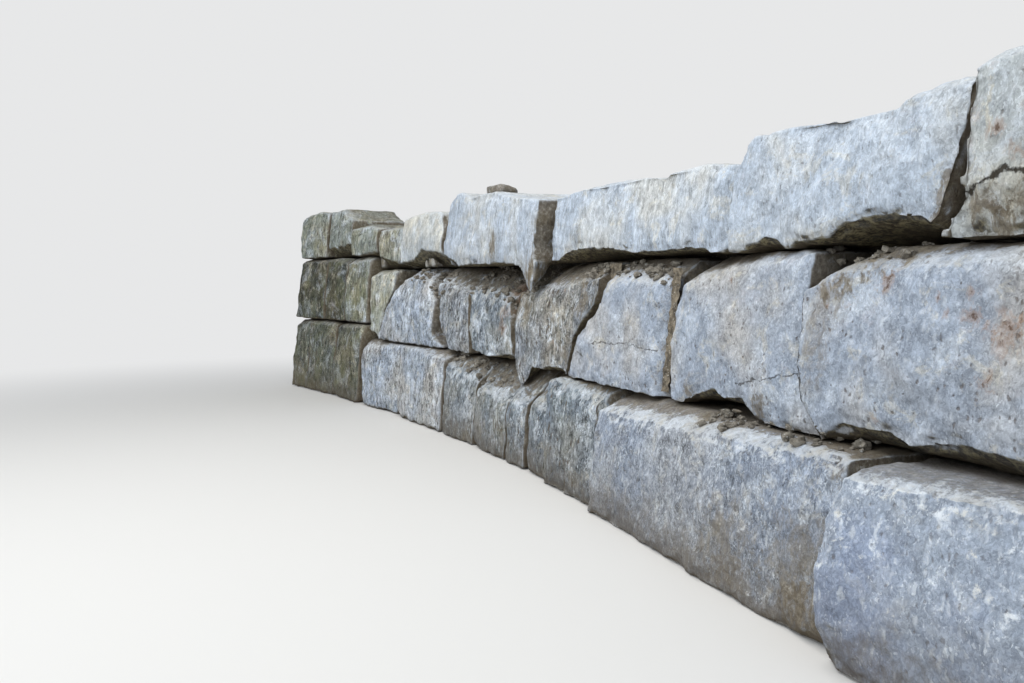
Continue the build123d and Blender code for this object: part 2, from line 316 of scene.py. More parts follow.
# colours that the patches, stains and worn places are mixed from
stain = {
    # near-black for painted shade on undersides, also the dark of cracks
    "shadeAndCrackBlack": (0.035, 0.028, 0.018),
    "moss": (0.260, 0.220, 0.120),
    "earth": (0.270, 0.230, 0.168),
    "rust": (0.34, 0.215, 0.140),
    "core": (0.085, 0.040, 0.018),
    "rose": (0.60, 0.54, 0.55),
    "cream": (0.66, 0.61, 0.49),
    "olive": (0.27, 0.28, 0.14),
    # soil brown, also used as painted shade in creases and corners
    "soilAndShadeBrown": (0.115, 0.090, 0.060),
    "chalk": (0.62, 0.67, 0.73),
    "white": (0.80, 0.84, 0.88),
    "dark": (0.115, 0.090, 0.070),
}


class Board:
    def __init__(self, tree):
        self.tree = tree

    def add(self, kind, **values):
        node = self.tree.nodes.new(kind)
        for key, value in values.items():
            setattr(node, key, value)
        return node

    def join(self, source, target):
        if isinstance(source, (int, float)):
            target.default_value = source
        elif isinstance(source, tuple):
            target.default_value = (*source, 1) if len(target.default_value) == 4 else source
        else:
            self.tree.links.new(source, target)

    def noise(self, where, scale, detail=4.0, rough=0.55, warp=0.0):
        node = self.add("ShaderNodeTexNoise")
        self.join(where, node.inputs["Vector"])
        node.inputs["Scale"].default_value = scale
        node.inputs["Detail"].default_value = detail
        node.inputs["Roughness"].default_value = rough
        node.inputs["Distortion"].default_value = warp
        return node.outputs["Fac"]

    def swirl(self, where, scale, detail):
        node = self.noise(where, scale, detail).node
        return self.vector("SUBTRACT", node.outputs["Color"], (0.5, 0.5, 0.5))

    def cells(self, where, scale):
        node = self.add("ShaderNodeTexVoronoi")
        self.join(where, node.inputs["Vector"])
        node.inputs["Scale"].default_value = scale
        return {"distance": node.outputs["Distance"], "chance": self.axis(node.outputs["Color"], "X")}

    def ramp(self, source, low, high, bottom=0.0, top=1.0):
        node = self.add("ShaderNodeMapRange", interpolation_type="SMOOTHSTEP")
        self.join(source, node.inputs["Value"])
        node.inputs["From Min"].default_value = low
        node.inputs["From Max"].default_value = high
        node.inputs["To Min"].default_value = bottom
        node.inputs["To Max"].default_value = top
        return node.outputs["Result"]

    def maths(self, kind, first, second=0.0):
        node = self.add("ShaderNodeMath", operation=kind)
        self.join(first, node.inputs[0])
        self.join(second, node.inputs[1])
        return node.outputs[0]

    def plus(self, first, *others):
        for other in others:
            first = self.maths("ADD", first, other)
        return first

    def times(self, first, *others):
        for other in others:
            first = self.maths("MULTIPLY", first, other)
        return first

    def vector(self, kind, first, second=(0.0, 0.0, 0.0)):
        node = self.add("ShaderNodeVectorMath", operation=kind)
        self.join(first, node.inputs[0])
        self.join(second, node.inputs["Scale"] if kind == "SCALE" else node.inputs[1])
        return node.outputs["Value" if kind in ("DOT_PRODUCT", "LENGTH") else 0]

    def shift(self, where, place, scale=(1.0, 1.0, 1.0)):
        node = self.add("ShaderNodeMapping")
        self.join(where, node.inputs["Vector"])
        node.inputs["Location"].default_value = place
        node.inputs["Scale"].default_value = scale
        return node.outputs["Vector"]

    def axis(self, source, name):
        node = self.add("ShaderNodeSeparateXYZ")
        self.join(source, node.inputs[0])
        return node.outputs[name]

    def blend(self, share, first, second):
        node = self.add("ShaderNodeMix", data_type="RGBA")
        self.join(share, node.inputs[0])
        self.join(first, node.inputs[6])
        self.join(second, node.inputs[7])
        return node.outputs[2]


# what shows best on single stones: blots are (station, height, radius), cracks are (start, end, width)
marks = {
    "middle_stone_1": {
        "rust": ((0.606, 0.532, 0.014), (0.459, 0.487, 0.014), (0.404, 0.469, 0.024), (0.435, 0.473, 0.010),
                 (0.431, 0.408, 0.012), (0.467, 0.518, 0.009), (0.388, 0.480, 0.012), (0.717, 0.490, 0.004),
                 (0.679, 0.493, 0.005), (0.607, 0.337, 0.007), (0.512, 0.512, 0.006), (0.495, 0.488, 0.006)),
        "dirt": ((0.690, 0.560, 0.040), (0.640, 0.575, 0.035), (0.590, 0.585, 0.030), (0.730, 0.520, 0.018)),
        "shade": ((0.710, 0.515, 0.030), (0.728, 0.480, 0.032), (0.736, 0.440, 0.030), (0.742, 0.400, 0.028),
                  (0.745, 0.365, 0.024)),
        "cracks": (((0.779, 0.517), (0.778, 0.404), 0.0035), ((0.778, 0.404), (0.758, 0.341), 0.0035)),
    },
    "middle_stone_2": {
        "rust": ((0.992, 0.536, 0.008),),
        "dirt": ((0.880, 0.310, 0.022), (1.110, 0.320, 0.020)),
        "cracks": (((0.951, 0.346), (0.872, 0.362), 0.0022), ((0.872, 0.362), (0.784, 0.380), 0.0018)),
    },
    "middle_stone_3": {
        "dirt": ((1.215, 0.540, 0.022), (1.212, 0.490, 0.020), (1.212, 0.440, 0.018), (1.215, 0.390, 0.018),
                 (1.215, 0.335, 0.022), (1.300, 0.570, 0.030), (1.480, 0.580, 0.030)),
        "cracks": (((1.529, 0.382), (1.370, 0.390), 0.0020), ((1.370, 0.390), (1.242, 0.382), 0.0016)),
    },
    "middle_stone_4": {
        "dirt": ((1.620, 0.560, 0.040), (1.560, 0.560, 0.040), (1.590, 0.480, 0.035), (1.660, 0.330, 0.030),
                 (1.960, 0.450, 0.030)),
    },
    "middle_stone_5": {"rust": ((2.130, 0.500, 0.030), (2.120, 0.440, 0.025), (2.140, 0.390, 0.025))},
    "top_stone_1": {
        "dirt": ((0.470, 0.630, 0.030), (0.400, 0.620, 0.035), (0.450, 0.600, 0.030)),
        "rust": ((0.450, 0.720, 0.012), (0.400, 0.740, 0.010), (0.420, 0.690, 0.012)),
        "cracks": (((0.495, 0.648), (0.433, 0.669), 0.005), ((0.433, 0.669), (0.360, 0.655), 0.005),
                   ((0.360, 0.655), (0.100, 0.670), 0.003)),
    },
    "top_stone_2": {"dirt": ((0.530, 0.640, 0.020), (0.538, 0.615, 0.016), (0.520, 0.670, 0.014))},
    "top_stone_4": {
        "dirt": ((1.868, 0.560, 0.030), (1.866, 0.600, 0.022), (1.866, 0.650, 0.020), (1.866, 0.700, 0.020),
                 (1.862, 0.515, 0.040), (1.880, 0.548, 0.040), (2.180, 0.650, 0.030)),
        "shade": ((1.910, 0.580, 0.045), (2.190, 0.610, 0.035), (2.060, 0.590, 0.030)),
    },
    "base_stone_2": {
        "dirt": ((0.620, 0.285, 0.040), (0.680, 0.290, 0.025), (1.010, 0.270, 0.030), (0.640, 0.040, 0.050)),
        "shade": ((0.830, 0.110, 0.070), (0.690, 0.105, 0.080), (0.890, 0.070, 0.070),
                  (0.640, 0.130, 0.060)),
    },
}


blotStrength = {"shade": 0.35, "dirt": 0.80, "rust": 0.50}
darkest = 0.18  # share of its light that the darkest crystal keeps
noises = {  # scale, detail, roughness and distortion
    "broad": (4.5, 3.0, 0.5, 0.4),
    "olive": (8.0, 7.0, 0.7, 0.5),
    "bloom": (12.0, 10.0, 0.72, 0.6),
    "rust": (15.0, 6.0, 0.72, 0.9),
    "cream": (17.0, 9.0, 0.75, 0.7),
    "rose": (21.0, 8.0, 0.75, 0.5),
    "mottle": (24.0, 8.0, 0.62, 0.3),
    "torn": (48.0, 10.0, 0.74, 0.5),
    "clods": (75.0, 9.0, 0.76, 0.4),
}
cellScales = {"flecks": 115.0, "coarse": 150.0, "crystals": 420.0}
# soil colour laid into corners by occlusion: painted shade, partly dirt
cornerShadeAndDirt = {"samples": 4, "reach": 0.035, "share": 0.80}
fineRelief = {"strength": 0.85, "depth": 0.007}


def flatPoint(station, height):
    return (wallStart["x"] - station, 0.0, height)


def crackShare(board, spot, torn, start, end, width):
    line = Vector(end) - Vector(start)
    fromStart = board.vector("SUBTRACT", spot, start)
    along = board.maths("DIVIDE", board.vector("DOT_PRODUCT", fromStart, tuple(line)), line.length_squared)
    along = board.maths("MINIMUM", board.maths("MAXIMUM", along, 0.0), 1.0)
    nearest = board.add("ShaderNodeVectorMath", operation="SCALE")
    nearest.inputs[0].default_value = line
    board.join(along, nearest.inputs["Scale"])
    distance = board.vector("LENGTH", board.vector("SUBTRACT", fromStart, nearest.outputs[0]))
    distance = board.plus(distance, board.ramp(torn, 0.36, 0.64, 0.7 * width, -0.5 * width))
    return board.ramp(distance, width, 0.3 * width, 0.0, min(0.95, 0.50 + 90 * width))


# the patterns of a stone that more than one of its layers use
def stonePatterns(board, look, place):
    spot = board.add("ShaderNodeTexCoord").outputs["Object"]
    here = board.shift(spot, place)
    tall = board.shift(spot, place, (1.0, 1.0, look["drawn"]))  # drawn out up and down the face
    ragged = board.vector("ADD", tall, board.vector("SCALE", board.swirl(here, 90.0, 3.0), 0.012))
    clods = board.noise(here, *noises["clods"])
    mottle = board.noise(here, *noises["mottle"])
    geometry = board.add("ShaderNodeNewGeometry")
    return {
        "spot": spot,
        "here": here,
        "ragged": ragged,
        "mottle": mottle,
        "uneven": board.ramp(mottle, 0.25, 0.75, -0.20, 0.20),
        "torn": board.noise(tall, *noises["torn"]),
        "bloom": board.noise(here, *noises["bloom"]),
        "cream": board.noise(board.shift(here, (2.0, 9.0, 4.0)), *noises["cream"]),
        "coarse": board.cells(ragged, cellScales["coarse"]),
        "crystals": board.cells(ragged, cellScales["crystals"]),
        "clods": clods,
        "dirt": board.blend(board.ramp(clods, 0.36, 0.66), stain["soilAndShadeBrown"], stain["earth"]),
        "facing": geometry.outputs["Normal"],
        "upward": board.axis(geometry.outputs["Normal"], "Z"),
        "bulge": geometry.outputs["Pointiness"],
    }


# broad tone with chalky, creamy and rosy patches, then crystals that each have their own brightness
def freshStone(board, look, pattern):
    broad = board.ramp(board.noise(pattern["here"], *noises["broad"]), 0.42, 0.66)
    colour = board.blend(broad, look["tone"], look["warm"])
    chalk = board.ramp(pattern["bloom"], 0.50, 0.62, 0.0, look["chalk"])
    colour = board.blend(chalk, colour, stain["chalk"])
    cream = board.ramp(pattern["cream"], 0.53, 0.62, 0.0, look["cream"])
    colour = board.blend(cream, colour, stain["cream"])
    rose = board.noise(board.shift(pattern["here"], (5.0, 1.0, 8.0)), *noises["rose"])
    colour = board.blend(board.ramp(rose, 0.57, 0.66, 0.0, 0.5 * look["cream"]), colour, stain["rose"])
    light = board.plus(
        board.ramp(pattern["mottle"], 0.32, 0.68, -0.13, 0.12),
        board.ramp(pattern["torn"], 0.30, 0.70, -0.24, 0.21),
        board.ramp(pattern["coarse"]["chance"], 0.0, 1.0, -0.10, 0.10),
        board.ramp(pattern["crystals"]["chance"], 0.0, 1.0, -0.19, 0.19),
    )
    light = board.plus(board.times(light, look["contrast"]), 1.0)
    return board.vector("SCALE", colour, board.maths("MAXIMUM", light, darkest))


def addFlecks(board, look, pattern, colour):
    flecks = board.cells(board.vector("MULTIPLY", pattern["ragged"], (1.0, 1.0, 0.6)), cellScales["flecks"])
    white = board.times(board.ramp(flecks["chance"], 0.70, 0.95), board.ramp(flecks["distance"], 0.60, 0.15))
    colour = board.blend(board.times(white, look["specks"]), colour, stain["white"])
    bright = board.ramp(pattern["crystals"]["chance"], 0.90, 0.96)
    sparks = board.times(bright, board.ramp(pattern["bloom"], 0.40, 0.58))
    return board.blend(board.times(sparks, look["specks"]), colour, stain["white"])


# small pits, thicker in some patches than in others
def pitShare(board, look, pattern):
    holes = board.cells(pattern["ragged"], look["holes"])
    thick = board.ramp(board.noise(pattern["here"], 9.0, 3.0), 0.35, 0.65, 0.97, 1 - look["pitted"])
    holed = board.maths("GREATER_THAN", holes["chance"], thick)
    return board.times(holed, board.ramp(holes["distance"], 0.34, 0.12), look["pits"])


def addGrowth(board, look, pattern, colour):
    rust = board.ramp(board.noise(pattern["here"], *noises["rust"]), 0.61, 0.73, 0.0, look["rust"])
    colour = board.blend(rust, colour, stain["rust"])
    olive = board.ramp(board.noise(pattern["here"], *noises["olive"]), 0.44, 0.72, 0.0, look["olive"])
    return board.blend(olive, colour, stain["olive"])


# earth on a ledge, from a little behind the front arris
def ledgeShare(board, look, pattern, arris):
    behind = board.plus(
        board.axis(pattern["spot"], "Y"),
        board.times(board.axis(pattern["spot"], "X"), -arris["slope"]),
        board.ramp(pattern["mottle"], 0.25, 0.75, -0.018, 0.018),
        board.ramp(pattern["clods"], 0.30, 0.70, -0.014, 0.014),
    )
    covered = board.ramp(behind, arris["start"] + 0.028, arris["start"] + 0.050, 1 - look["ledge"], 1.0)
    level = board.ramp(board.plus(pattern["upward"], pattern["uneven"]), 0.45, 0.75, 0.0, look["ledge"])
    return board.times(level, board.ramp(pattern["torn"], 0.70, 0.50, 0.55, 1.0), covered)


# ends keep the earth they lay in, undersides are painted dark as painted shade mixed with moss, and soil
# splashes up the foot
def addEarthAndUnderShade(board, look, pattern, colour):
    upward, uneven, clods, dirt = (pattern[key] for key in ("upward", "uneven", "clods", "dirt"))
    frontal = board.plus(board.maths("ABSOLUTE", board.axis(pattern["facing"], "Y")), uneven)
    sides = board.times(board.ramp(frontal, 0.54, 0.28), board.ramp(upward, 0.75, 0.35),
                        board.ramp(clods, 0.72, 0.52, 0.45, 1.0))
    colour = board.blend(board.times(sides, look["earth"]), colour, dirt)
    # downward faces get near-black and moss colour: painted shade under the stones, with real moss
    undersideShade = board.ramp(board.plus(upward, uneven), -0.30, -0.60, 0.0, 0.92)
    mossAndShade = board.blend(board.ramp(clods, 0.42, 0.62), stain["shadeAndCrackBlack"], stain["moss"])
    colour = board.blend(undersideShade, colour, mossAndShade)
    rise = board.plus(
        board.axis(pattern["spot"], "Z"),
        board.ramp(pattern["mottle"], 0.2, 0.8, 0.05, -0.05),
        board.ramp(pattern["torn"], 0.3, 0.7, 0.04, -0.04),
    )
    colour = board.blend(board.ramp(rise, 0.20, 0.02, 0.0, 0.55 * look["foot"]), colour, dirt)
    return board.blend(board.ramp(rise, 0.10, 0.00, 0.0, look["foot"]), colour, stain["soilAndShadeBrown"])


def addBlots(board, pattern, marked, wavy, colour):
    blots = [(kind, *blot) for kind in ("shade", "dirt", "rust") for blot in marked.get(kind, ())]
    for kind, station, level, radius in blots:
        distance = board.vector("LENGTH", board.vector("SUBTRACT", wavy, flatPoint(station, level)))
        distance = board.plus(distance, board.ramp(pattern["torn"], 0.34, 0.64, 1.1 * radius, -0.8 * radius))
        share = board.ramp(distance, 1.4 * radius, 0.2 * radius, 0.0, blotStrength[kind])
        colour = board.blend(share, colour, stain["rust"] if kind == "rust" else pattern["dirt"])
        if kind == "rust":
            heart = board.ramp(distance, 0.25 * radius, -0.15 * radius, 0.0, 0.80)
            colour = board.blend(heart, colour, stain["core"])
    return colour


# tops are painted whiter, partly real bleaching and partly painted light from above, worn edges are pale,
# and creases and corners are darkened with soil colour, partly dirt and partly painted shade
def addWearAndPaintedLight(board, look, pattern, ledge, colour):
    torn, cream, bulge = (pattern[key] for key in ("torn", "cream", "bulge"))
    # upward faces painted lighter: sun-bleaching plus painted light falling from above
    bleached = board.plus(pattern["upward"], board.ramp(torn, 0.3, 0.7, -0.25, 0.25),
                          board.ramp(pattern["clods"], 0.35, 0.65, -0.22, 0.22))
    clear = board.ramp(ledge, 0.0, 0.5, look["bleach"], 0.0)
    bleached = board.times(board.ramp(bleached, 0.36, 0.76), clear)
    toplitBleachColour = board.blend(board.ramp(cream, 0.46, 0.60, 0.0, 0.6), stain["white"], stain["cream"])
    colour = board.blend(bleached, colour, toplitBleachColour)
    colour = board.blend(board.ramp(bulge, 0.515, 0.57, 0.0, look["edge"]), colour, stain["chalk"])
    # creases darkened with soil colour: painted shade in the creases, with some dirt
    colour = board.blend(board.ramp(bulge, 0.48, 0.42, 0.0, 0.40), colour, stain["soilAndShadeBrown"])
    # occlusion darkens corners and joints with soil colour: painted shade, partly dirt
    corner = board.add("ShaderNodeAmbientOcclusion", samples=cornerShadeAndDirt["samples"])
    corner.inputs["Distance"].default_value = cornerShadeAndDirt["reach"]
    closed = board.plus(corner.outputs["AO"], board.ramp(torn, 0.35, 0.65, 0.10, -0.10))
    return board.blend(board.ramp(closed, 0.72, 0.32, 0.0, cornerShadeAndDirt["share"]), colour, stain["soilAndShadeBrown"])


# relief that is finer than the mesh
def surfaceRelief(board, look, pattern, pits, cracks):
    rougher = board.ramp(pattern["upward"], 0.2, -0.4, 0.25, 1.4)  # undersides are rougher than faces
    relief = board.plus(
        board.times(pattern["torn"], 0.5 + 0.5 * look["contrast"]),
        board.times(pattern["clods"], rougher),
        board.times(pattern["coarse"]["chance"], 0.10),
        board.times(pattern["crystals"]["chance"], 0.09),
        board.times(pits, -0.60),
        board.times(cracks, -0.9),
    )
    bump = board.add("ShaderNodeBump")
    bump.inputs["Strength"].default_value = fineRelief["strength"]
    bump.inputs["Distance"].default_value = fineRelief["depth"]
    board.join(relief, bump.inputs["Height"])
    return bump.outputs["Normal"]


def limestone(name, look, place, marked, arris):
    paint = bpy.data.materials.new(name)
    paint.use_nodes = True
    board = Board(paint.node_tree)
    shader = paint.node_tree.nodes["Principled BSDF"]
    pattern = stonePatterns(board, look, place)
    colour = addFlecks(board, look, pattern, freshStone(board, look, pattern))
    pits = pitShare(board, look, pattern)
    colour = addGrowth(board, look, pattern, board.blend(pits, colour, stain["dark"]))
    ledge = ledgeShare(board, look, pattern, arris)
    colour = addEarthAndUnderShade(board, look, pattern, board.blend(ledge, colour, pattern["dirt"]))

    # the marks of this stone lie on the plane of the face
    wander = board.vector("SCALE", board.swirl(pattern["here"], 55.0, 6.0), 0.022)
    wavy = board.vector("MULTIPLY", board.vector("ADD", pattern["spot"], wander), (1.0, 0.0, 1.0))
    colour = addBlots(board, pattern, marked, wavy, colour)
    colour = addWearAndPaintedLight(board, look, pattern, ledge, colour)
    cracks = 0.0
    for start, end, width in marked.get("cracks", ()):
        crack = crackShare(board, wavy, pattern["torn"], flatPoint(*start), flatPoint(*end), width)
        cracks = board.maths("MAXIMUM", cracks, crack)
    colour = board.blend(cracks, colour, stain["shadeAndCrackBlack"])
    board.join(colour, shader.inputs["Base Color"])
    board.join(board.ramp(pattern["torn"], 0.3, 0.7, 0.80, 0.97), shader.inputs["Roughness"])
    shader.inputs["Specular IOR Level"].default_value = 0.25
    board.join(surfaceRelief(board, look, pattern, pits, cracks), shader.inputs["Normal"])
    return paint


# the stones, each worked up from its own solid
dressing = {
    "inset": (-0.003, 0.008, 0.001),  # room for the relief at front and back; the ends grow into the joints
    "arris": 0.002,  # how much of each sharp edge is worn off
    "swell": {"size": 0.17, "depth": 0.020},
    "hew": {"size": 0.055, "depth": 0.011},
    "chips": {"size": 0.045, "depth": 0.008},
    "grain": {"size": 0.013, "depth": 0.0050},
    "facing": {"top": 0.25, "back": 0.5, "least": 0.3},  # only the front has the whole relief
    "merge": 0.0001,
    "flat": 1.0,  # degrees between facets that count as one
    "boulder": 0.30,  # small loose stones are worn round, by this share of their height
    "sharp": 18,  # degrees
    "arrisRings": 2,
    "crestSpared": 0.9,
    "soften": {"factor": 0.5, "rounds": 3},
    "kept": 0.88,  # share of the triangles that stays
}
gridSizes = {"near": 0.005, "middle": 0.0075, "far": 0.011}


def reliefTexture(name, layers):
    texture = bpy.data.textures.new(name, "CLOUDS")
    texture.noise_scale = dressing[name]["size"]
    texture.noise_depth = layers
    return texture


reliefs = {
    "swell": reliefTexture("swell", 1),
    "hew": reliefTexture("hew", 3),
    "chips": reliefTexture("chips", 4),
    "grain": reliefTexture("grain", 2),
}
reliefs["chips"].contrast = 1.6


def carve(stone, name, middle=0.5, group=""):
    relief = stone.modifiers.new(name, "DISPLACE")
    relief.texture = reliefs[name]
    relief.texture_coords = "LOCAL"
    relief.mid_level = middle
    relief.strength = dressing[name]["depth"]
    relief.vertex_group = group
    bpy.ops.object.modifier_apply(modifier=name)


def markFacing(stone, shares):
    group = stone.vertex_groups.new(name="facing")
    for vertex in stone.data.vertices:
        normal = vertex.normal
        seen = max(-normal.y, shares["top"] * normal.z, shares["back"] * normal.y, 0.0)
        group.add([vertex.index], shares["least"] + (1 - shares["least"]) * seen, "REPLACE")
    return group.name


def markArrises(stone, spared):
    rings = dressing["arrisRings"]
    group = stone.vertex_groups.new(name="arris")
    bpy.ops.object.mode_set(mode="EDIT")
    bpy.ops.mesh.select_mode(type="EDGE")
    bpy.ops.mesh.select_all(action="DESELECT")
    bpy.ops.mesh.edges_select_sharp(sharpness=math.radians(dressing["sharp"]))
    for _ in range(rings):
        bpy.ops.mesh.select_more()
    bpy.ops.object.vertex_group_assign()
    bpy.ops.mesh.select_all(action="SELECT")
    bpy.ops.object.vertex_group_smooth(group_select_mode="ACTIVE", factor=0.5, repeat=2 * rings)
    bpy.ops.object.mode_set(mode="OBJECT")
    for vertex in stone.data.vertices:
        share = next((entry.weight for entry in vertex.groups if entry.group == group.index), 0.0)
        group.add([vertex.index], share * (1 - spared * max(vertex.normal.z, 0.0)), "REPLACE")
    return group.name


# the line of a stone's upper front edge, through the foremost points near both ends of its solid
arrisSearch = {"upper": 0.4, "ends": 0.25, "shortest": 0.02}


def frontArris(solid, low, high):
    lowest = high.z - arrisSearch["upper"] * (high.z - low.z)
    upper = [vertex.co for vertex in solid.data.vertices if vertex.co.z > lowest]
    reach = arrisSearch["ends"] * (high.x - low.x)
    ends = []
    for edge in (low.x, high.x):
        close = [point for point in upper if abs(point.x - edge) < reach]
        ends.append(min(close or upper, key=lambda point: point.y))
    first, last = ends
    run = last.x - first.x
    slope = (last.y - first.y) / run if run > arrisSearch["shortest"] else 0.0
    return {"slope": slope, "start": first.y - slope * first.x}


def dressStone(nodeName, lookName, gridSize):
    pickOnly(nodes[nodeName])
    bpy.ops.object.duplicate()
    stone = bpy.context.object
    stone.name = nodeName + "_dressed"
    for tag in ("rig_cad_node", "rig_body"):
        del stone[tag]
    low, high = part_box(nodeName)
    middle = ((low.x + high.x) / 2, (low.y + high.y) / 2, low.z)
    shrink = [1 - 2 * inset / size for inset, size in zip(dressing["inset"], high - low)]
    bpy.ops.object.mode_set(mode="EDIT")
    bpy.ops.mesh.select_all(action="SELECT")
    bpy.ops.mesh.remove_doubles(threshold=dressing["merge"])
    bpy.ops.mesh.dissolve_limited(angle_limit=math.radians(dressing["flat"]))
    bpy.ops.mesh.select_all(action="SELECT")
    bpy.ops.transform.resize(value=shrink, center_override=middle)
    worn = dressing["boulder"] * (high.z - low.z) if lookName == "brown" else dressing["arris"]
    bpy.ops.mesh.bevel(offset=worn, segments=2, affect="EDGES", clamp_overlap=True)
    bpy.ops.object.mode_set(mode="OBJECT")
    grid = stone.modifiers.new("grid", "REMESH")
    grid.mode = "VOXEL"
    grid.voxel_size = gridSize
    bpy.ops.object.modifier_apply(modifier="grid")
    facing = markFacing(stone, dressing["facing"])  # ends and beds get less relief than faces
    arris = markArrises(stone, dressing["crestSpared"] if "top" in nodeName else 0.0)
    carve(stone, "swell", group=facing)
    carve(stone, "hew", group=facing)
    carve(stone, "grain", group=facing)
    carve(stone, "chips", 1.0, arris)  # takes stone away and never adds any
    soften = stone.modifiers.new("soften", "SMOOTH")  # opens out the folds that the chips leave
    soften.factor = dressing["soften"]["factor"]
    soften.iterations = dressing["soften"]["rounds"]
    soften.vertex_group = arris
    bpy.ops.object.modifier_apply(modifier="soften")
    thin = stone.modifiers.new("thin", "DECIMATE")
    thin.ratio = dressing["kept"]
    bpy.ops.object.modifier_apply(modifier="thin")
    for vertex in stone.data.vertices:  # flat on the ground, and cut off where the wall ends
        vertex.co = [min(max(co, low), high) for co, low, high in zip(vertex.co, *cadBox)]
    bpy.ops.object.shade_smooth()
    stone.data.materials.clear()
    place = tuple(random.uniform(-20, 20) for _ in range(3))
    front = frontArris(nodes[nodeName], low, high)
    paint = limestone(nodeName + "_stone", stoneLooks[lookName], place, marks.get(nodeName, {}), front)
    stone.data.materials.append(paint)
    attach(stone, "root")
    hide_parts(nodeName)
    return stone


nearStones = (
    "top_stone_1", "top_stone_2", "top_stone_3",
    "middle_stone_1", "middle_stone_2", "middle_stone_3",
    "base_stone_1", "base_stone_2", "base_stone_3",
)
middleStones = (
    "top_stone_4", "middle_stone_4", "middle_stone_5", "middle_stone_6",
    "base_stone_4", "base_stone_5", "base_stone_6", "base_stone_7",
)
specialLooks = {
    "top_stone_1": "creamy", "top_stone_3": "streaked", "top_stone_4": "streaked", "top_stone_5": "sunlit",
    "top_stone_6": "olive", "middle_stone_4": "rough", "middle_stone_5": "shaded", "middle_stone_6": "rough",
    "middle_stone_7": "weathered", "middle_stone_8": "creamOlive", "base_stone_8": "weathered",
    "base_stone_9": "weathered", "far_middle_stone_1": "mossy", "far_middle_stone_2": "dark",
    "far_middle_stone_3": "dark", "base_stone_1": "lavender", "base_stone_3": "shaded",
    "base_stone_4": "shaded", "base_stone_5": "shaded", "base_stone_6": "shaded", "base_stone_7": "shaded",
}


def lookOf(name):
    if name in specialLooks:
        return specialLooks[name]
    if name.startswith(("pin", "loose", "levelling")):
        return "brown"
    if name.startswith("far_base"):
        return "dim"
    if name.startswith("far_top"):
        return "olive"
    if name.startswith("top"):
        return "pale"
    return "grey" if name.startswith("middle") else "blue"


dressed = {}
for name in sorted(nodes):
    if name in nearStones:
        gridSize = gridSizes["near"]
    elif name in middleStones or name.startswith(("pin", "loose")):
        gridSize = gridSizes["middle"]
    else:
        gridSize = gridSizes["far"]
    dressed[name] = dressStone(name, lookOf(name), gridSize)
counts = [sum(len(face.vertices) - 2 for face in stone.data.polygons) for stone in dressed.values()]
print("stage 2:", len(counts), "stones are dressed,", sum(counts), "triangles, at most", max(counts))


# earth packed in the joints, a lumpy sheet that runs along inside the stones, coloured near-black as painted
# shade in the depth of the joints
earthShadeSheet = {"behindFace": 0.135, "ends": 0.06, "foot": 0.012, "top": 0.735, "grid": 0.015, "lumps": 0.030}
earthTones = {
    # the packed tones are near-black: painted shade deep in the joints, over earth
    "packedShade": {"dark": (0.016, 0.013, 0.009), "light": (0.060, 0.047, 0.031), "grit": (0.22, 0.20, 0.17)},
    "seams": {"dark": (0.050, 0.040, 0.027), "light": (0.30, 0.25, 0.18), "grit": (0.48, 0.45, 0.40)},
    "crumbs": {"dark": (0.10, 0.085, 0.065), "light": (0.33, 0.30, 0.25), "grit": (0.52, 0.52, 0.50)},
}


def earthPaint(name, tones):
    paint = bpy.data.materials.new(name)
    paint.use_nodes = True
    board = Board(paint.node_tree)
    shader = paint.node_tree.nodes["Principled BSDF"]
    spot = board.add("ShaderNodeTexCoord").outputs["Object"]
    lumps = board.noise(spot, 60.0, 8.0, 0.7)
    colour = board.blend(board.ramp(lumps, 0.35, 0.68), tones["dark"], tones["light"])
    grit = board.ramp(board.noise(spot, 190.0, 3.0), 0.62, 0.68, 0.0, 0.8)
    board.join(board.blend(grit, colour, tones["grit"]), shader.inputs["Base Color"])
    board.join(board.ramp(lumps, 0.3, 0.7, 0.88, 1.0), shader.inputs["Roughness"])
    bump = board.add("ShaderNodeBump")
    bump.inputs["Distance"].default_value = 0.006
    board.join(lumps, bump.inputs["Height"])
    board.join(bump.outputs["Normal"], shader.inputs["Normal"])
    return paint


def packEarthAndShade(look):
    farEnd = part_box("far_base_stone_3")[0].x
    length = wallStart["x"] - farEnd - 2 * look["ends"]
    height = look["top"] - look["foot"]
    bpy.ops.mesh.primitive_grid_add(size=1, x_subdivisions=round(length / look["grid"]),
                                    y_subdivisions=round(height / look["grid"]))
    earth = bpy.context.object
    earth.name = "packed_earth_shade"
    for vertex in earth.data.vertices:
        station = look["ends"] + (0.5 - vertex.co.x) * length
        vertex.co = onWall(station, look["behindFace"], look["foot"] + (0.5 + vertex.co.y) * height)
    lumps = earth.modifiers.new("lumps", "DISPLACE")
    lumps.texture = reliefs["chips"]
    lumps.texture_coords = "LOCAL"
    lumps.strength = look["lumps"]
    bpy.ops.object.modifier_apply(modifier="lumps")
    bpy.ops.object.shade_smooth()
    earth.data.materials.append(earthPaint("packedEarthShade", earthTones["packedShade"]))
    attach(earth, "root")


# crumbly earth that fills the open seams between neighbours, nearly out to the face
seamFills = (
    {"path": ((1.665, 0.292), (1.650, 0.342), (1.616, 0.393), (1.560, 0.446), (1.535, 0.475),
              (1.520, 0.530), (1.510, 0.575)),
     "width": 0.060, "behind": 0.034},
    {"path": ((1.205, 0.300), (1.203, 0.560)), "width": 0.030, "behind": 0.020},
    {"path": ((2.075, 0.330), (2.066, 0.420), (2.060, 0.500)), "width": 0.040, "behind": 0.034},
)
seamLook = {"grid": 0.008, "lumps": 0.014}


